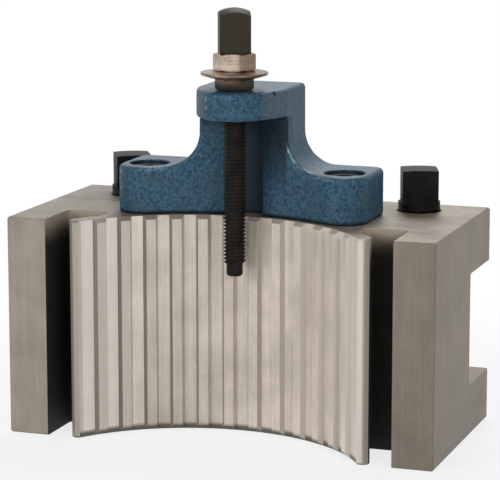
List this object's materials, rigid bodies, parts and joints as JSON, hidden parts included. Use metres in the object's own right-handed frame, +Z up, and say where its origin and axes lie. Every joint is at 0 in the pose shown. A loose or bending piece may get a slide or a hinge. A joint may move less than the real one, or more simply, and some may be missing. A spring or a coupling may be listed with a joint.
{
  "type": "lathe tool post holder",
  "caption": "Quick-change lathe tool holder with a serrated hollow seat, claw grooves, a clamped tool slot at the back and a blue bracket carrying the height screw.",
  "frame": {"origin": "centre of the flat base face", "axes": "+Z up along the height screw, +X along the holder, -Y towards the tool post, +Y towards the tool slot"},
  "size_m": [0.12, 0.058, 0.1171],
  "materials": {
    "block_steel": "satin ground steel, brighter on the ground splines",
    "bracket_paint": "blue hammered paint on a casting",
    "black_screw": "black oxide",
    "bright_nut": "bright steel, slightly yellowed"
  },
  "bodies": {
    "holder": {"holder_body": "block_steel", "height_bracket": "bracket_paint", "bracket_screw_left": "black_screw", "bracket_screw_right": "black_screw", "lock_nut": "black_screw"},
    "rise": {"thrust_washer": "bright_nut"},
    "spindle": {"height_screw": "black_screw", "collar_nut": "bright_nut"},
    "clamp_1": {"clamp_screw_1": "black_screw"},
    "clamp_2": {"clamp_screw_2": "black_screw"},
    "clamp_3": {"clamp_screw_3": "black_screw"},
    "clamp_4": {"clamp_screw_4": "black_screw"}
  },
  "joints": [
    {"name": "height_rise", "type": "slide", "parent": "holder", "child": "rise", "axis": [0, 0, 1], "range_m": [0, 0.03]},
    {"name": "height_spin", "type": "hinge", "parent": "rise", "child": "spindle", "pos_m": [0, -0.0135, 0], "axis": [0, 0, 1], "range_deg": [0, 10800]},
    {"name": "clamp_1_travel", "type": "slide", "parent": "holder", "child": "clamp_1", "axis": [0, 0, 1], "range_m": [-0.0015, 0.0085]},
    {"name": "clamp_2_travel", "type": "slide", "parent": "holder", "child": "clamp_2", "axis": [0, 0, 1], "range_m": [-0.0001, 0.0099]},
    {"name": "clamp_3_travel", "type": "slide", "parent": "holder", "child": "clamp_3", "axis": [0, 0, 1], "range_m": [-0.0001, 0.0099]},
    {"name": "clamp_4_travel", "type": "slide", "parent": "holder", "child": "clamp_4", "axis": [0, 0, 1], "range_m": [-0.0015, 0.0085]}
  ],
  "couplings": [
    {"joint": "height_rise", "follows": "height_spin", "m_per_rad": 0.00015915}
  ]
}
